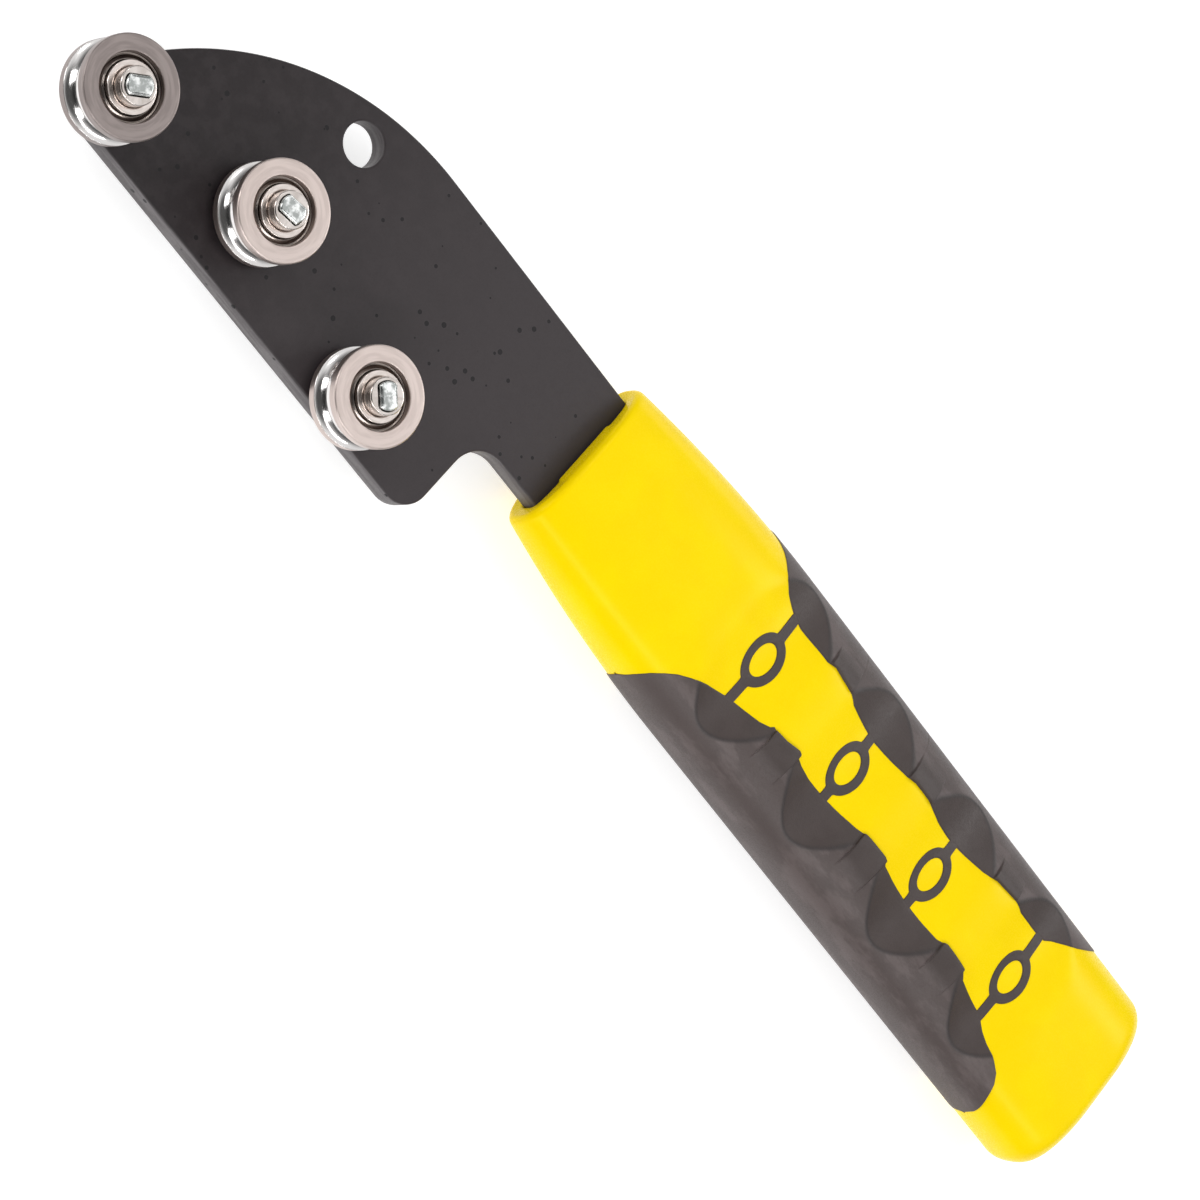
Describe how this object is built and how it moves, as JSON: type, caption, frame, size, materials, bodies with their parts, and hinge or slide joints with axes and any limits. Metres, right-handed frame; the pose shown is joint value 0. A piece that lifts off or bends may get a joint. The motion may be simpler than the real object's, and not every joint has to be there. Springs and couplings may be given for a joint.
{
  "type": "wire straightener",
  "caption": "Hand-held pull-through wire straightener: grooved ball-bearing rollers in a zigzag on a steel head plate, with a moulded two-colour handle on its tang.",
  "frame": {"origin": "middle of the part's own box, on the level of the ridges under its handle and of the middle axle's nut, on which it lies", "axes": "+X along the handle to the head, +Y across it towards the plate's straight edge, +Z along the axles, rollers on top"},
  "size_m": [0.2556, 0.0524, 0.0238],
  "materials": {
    "plate_black": "satin black paint, faintly speckled",
    "handle_yellow": "smooth moulded, soft gloss",
    "grip_grey": "soft matt, brownish grey",
    "roller_steel": "satin faces, polished groove",
    "ring_steel": "ground and polished",
    "ball_steel": "polished",
    "cage_brass": "pressed, satin",
    "shield_steel": "pressed sheet, darkened",
    "collar_steel": "turned and polished",
    "axle_steel": "bright, bluish white",
    "zinc_steel": "zinc plated"
  },
  "bodies": {
    "frame": {"frame_plate": "plate_black", "handle_sleeve": "handle_yellow", "grip_left": "grip_grey", "grip_right": "grip_grey", "grip_links": "grip_grey", "middle_washer": "zinc_steel", "middle_nut": "zinc_steel", "front_inner_ring": "ring_steel", "front_axle_collar": "collar_steel", "front_axle": "axle_steel", "front_spacer": "zinc_steel", "middle_inner_ring": "ring_steel", "middle_axle_collar": "collar_steel", "middle_axle": "axle_steel", "middle_spacer": "zinc_steel", "rear_inner_ring": "ring_steel", "rear_axle_collar": "collar_steel", "rear_axle": "axle_steel", "rear_spacer": "zinc_steel"},
    "front_roller": {"front_roller_ring": "roller_steel", "front_upper_shield": "shield_steel", "front_lower_shield": "shield_steel"},
    "front_ball_set": {"front_bearing_balls": "ball_steel", "front_ball_cage": "cage_brass"},
    "middle_roller": {"middle_roller_ring": "roller_steel", "middle_upper_shield": "shield_steel", "middle_lower_shield": "shield_steel"},
    "middle_ball_set": {"middle_bearing_balls": "ball_steel", "middle_ball_cage": "cage_brass"},
    "rear_roller": {"rear_roller_ring": "roller_steel", "rear_upper_shield": "shield_steel", "rear_lower_shield": "shield_steel"},
    "rear_ball_set": {"rear_bearing_balls": "ball_steel", "rear_ball_cage": "cage_brass"}
  },
  "joints": [
    {"name": "front_roller_spin", "type": "hinge", "parent": "frame", "child": "front_roller", "pos_m": [0.11985, 0.01825, 0.017], "axis": [0, 0, 1], "continuous": true},
    {"name": "front_ball_set_spin", "type": "hinge", "parent": "frame", "child": "front_ball_set", "pos_m": [0.11985, 0.01825, 0.017], "axis": [0, 0, 1], "continuous": true},
    {"name": "middle_roller_spin", "type": "hinge", "parent": "frame", "child": "middle_roller", "pos_m": [0.09015, 0.01135, 0.017], "axis": [0, 0, 1], "continuous": true},
    {"name": "middle_ball_set_spin", "type": "hinge", "parent": "frame", "child": "middle_ball_set", "pos_m": [0.09015, 0.01135, 0.017], "axis": [0, 0, 1], "continuous": true},
    {"name": "rear_roller_spin", "type": "hinge", "parent": "frame", "child": "rear_roller", "pos_m": [0.05895, 0.01825, 0.017], "axis": [0, 0, 1], "continuous": true},
    {"name": "rear_ball_set_spin", "type": "hinge", "parent": "frame", "child": "rear_ball_set", "pos_m": [0.05895, 0.01825, 0.017], "axis": [0, 0, 1], "continuous": true}
  ],
  "couplings": [
    {"joint": "front_ball_set_spin", "follows": "front_roller_spin", "ratio": 0.58475},
    {"joint": "middle_ball_set_spin", "follows": "middle_roller_spin", "ratio": 0.58475},
    {"joint": "rear_ball_set_spin", "follows": "rear_roller_spin", "ratio": 0.58475}
  ]
}
